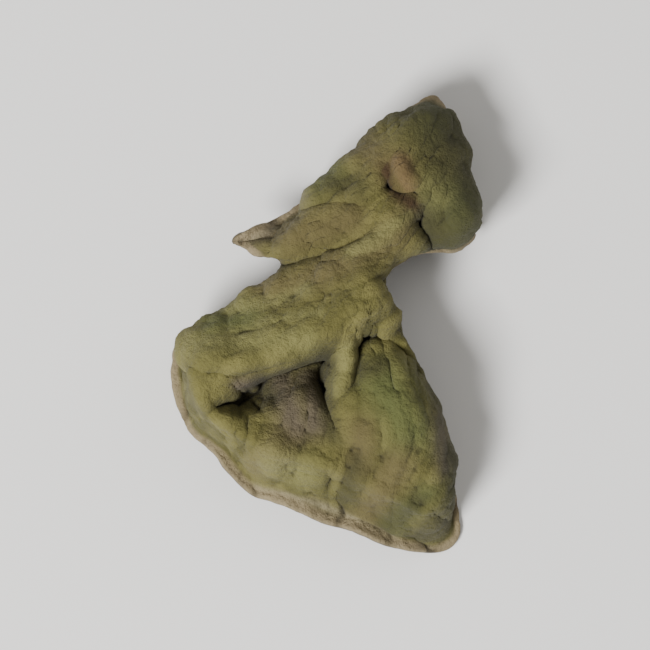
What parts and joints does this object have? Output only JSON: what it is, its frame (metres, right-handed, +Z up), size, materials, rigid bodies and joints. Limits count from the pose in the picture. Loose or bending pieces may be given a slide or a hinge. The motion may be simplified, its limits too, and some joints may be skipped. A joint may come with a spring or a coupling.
{
  "type": "wood ear mushroom",
  "caption": "Dried wood ear mushroom: a thin, crumpled, ear-shaped cap with curled margins and a rolled band over a deep hollow, lying felted side up.",
  "frame": {"origin": "centre of the bounding box, at the surface the ear rests on", "axes": "+Z up, away from the resting surface, out of the felted face; +Y along the ear's length, from the wide lower lobe with the hollow to the narrow upper lobe; +X to the right of it"},
  "size_m": [0.02, 0.0294, 0.0093],
  "materials": {
    "dried_flesh": "dull felted olive-brown outside, smooth dark slate-brown inside"
  },
  "bodies": {
    "root": {"ear": "dried_flesh"}
  },
  "joints": []
}
